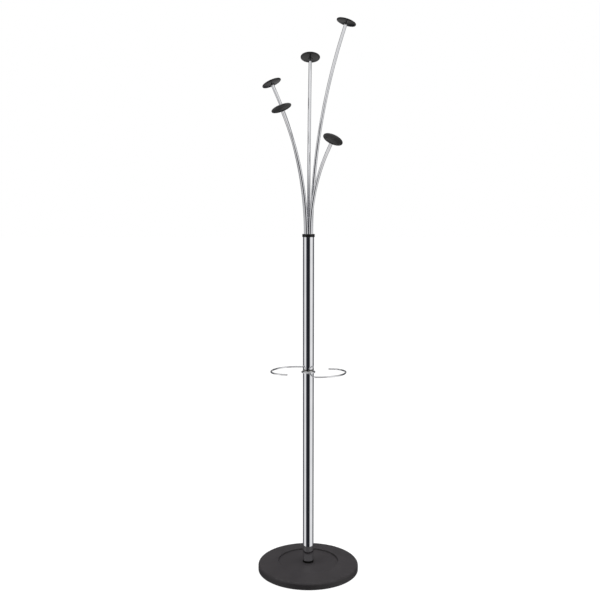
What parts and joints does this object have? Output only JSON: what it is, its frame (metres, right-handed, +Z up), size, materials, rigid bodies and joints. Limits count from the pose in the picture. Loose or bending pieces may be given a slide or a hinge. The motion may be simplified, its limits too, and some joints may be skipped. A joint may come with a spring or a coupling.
{
  "type": "standing coat rack",
  "caption": "Free-standing coat rack: weighted round base with drip recess, chromed pole, swivelling wire umbrella holder and a crown of curved arms with mushroom knobs.",
  "frame": {"origin": "on the floor at the pole's axis, under the middle of the round base", "axes": "+Z up along the pole, -Y the front of the stand, +X to the right seen from the front"},
  "size_m": [0.35, 0.35, 1.8904],
  "materials": {
    "grey_paint": "fine-textured matt dark grey powder coat",
    "chrome": "polished chrome plate",
    "cast_iron": "rough sand cast",
    "zinc_steel": "zinc plated",
    "black_plastic": "satin moulded",
    "knob_plastic": "satin moulded",
    "black_rubber": "matt moulded"
  },
  "bodies": {
    "stand": {"base_cover": "grey_paint", "ballast_weight": "cast_iron", "base_plate": "zinc_steel", "base_plate_screw_1": "zinc_steel", "base_plate_screw_2": "zinc_steel", "base_plate_screw_3": "zinc_steel", "foot_ring": "black_rubber", "base_bolt": "zinc_steel", "base_washer": "zinc_steel", "foot_ferrule": "black_plastic", "foot_plug": "zinc_steel", "lower_tube": "chrome", "joint_coupler": "zinc_steel", "joint_stud": "zinc_steel", "joint_washer": "black_plastic", "upper_joint_plug": "zinc_steel", "upper_tube": "chrome", "top_collar": "black_plastic", "arm_hub": "zinc_steel", "arm_top": "chrome", "arm_second": "chrome", "arm_third": "chrome", "arm_fourth": "chrome", "arm_lowest": "chrome", "knob_top": "knob_plastic", "knob_second": "knob_plastic", "knob_third": "knob_plastic", "knob_fourth": "knob_plastic", "knob_lowest": "knob_plastic"},
    "umbrella_holder": {"holder_ring": "chrome", "umbrella_loop_right": "chrome", "umbrella_loop_left": "chrome"}
  },
  "joints": [
    {"name": "holder_swivel", "type": "hinge", "parent": "stand", "child": "umbrella_holder", "pos_m": [0, 0, 0.7036], "axis": [0, 0, 1], "continuous": true}
  ]
}
